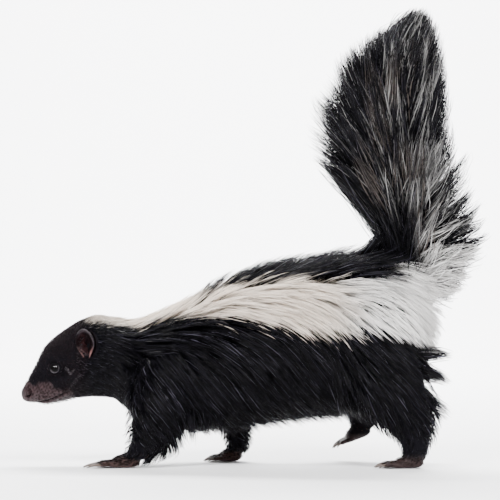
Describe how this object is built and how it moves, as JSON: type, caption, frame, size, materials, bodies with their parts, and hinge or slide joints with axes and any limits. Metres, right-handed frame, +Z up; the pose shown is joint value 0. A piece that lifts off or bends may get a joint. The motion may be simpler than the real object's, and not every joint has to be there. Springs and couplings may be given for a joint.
{
  "type": "striped skunk",
  "caption": "Life-size still model of a striped skunk in mid stride, head low and bushy tail raised, with paws, claws, ears, eyes and nose as separate pieces.",
  "frame": {"origin": "on the ground, under the middle of the animal's bounding box", "axes": "+Z up; the animal faces -X, from tail to nose; its left side is -Y"},
  "size_m": [0.4382, 0.141, 0.4304],
  "materials": {
    "coat_black": "matte",
    "coat_tail": "matte",
    "bare_skin": "satin",
    "eye": "gloss"
  },
  "bodies": {
    "root": {"torso": "coat_black", "neck": "coat_black", "head": "coat_black", "nose": "bare_skin", "eye_left": "eye", "eye_right": "eye", "ear_left": "coat_black", "ear_right": "coat_black", "tail": "coat_tail", "foreleg_left": "coat_black", "forepaw_left": "bare_skin", "foreleg_right": "coat_black", "forepaw_right": "bare_skin", "hindleg_left": "coat_black", "hindpaw_left": "bare_skin", "hindleg_right": "coat_black", "hindpaw_right": "bare_skin"}
  },
  "joints": []
}
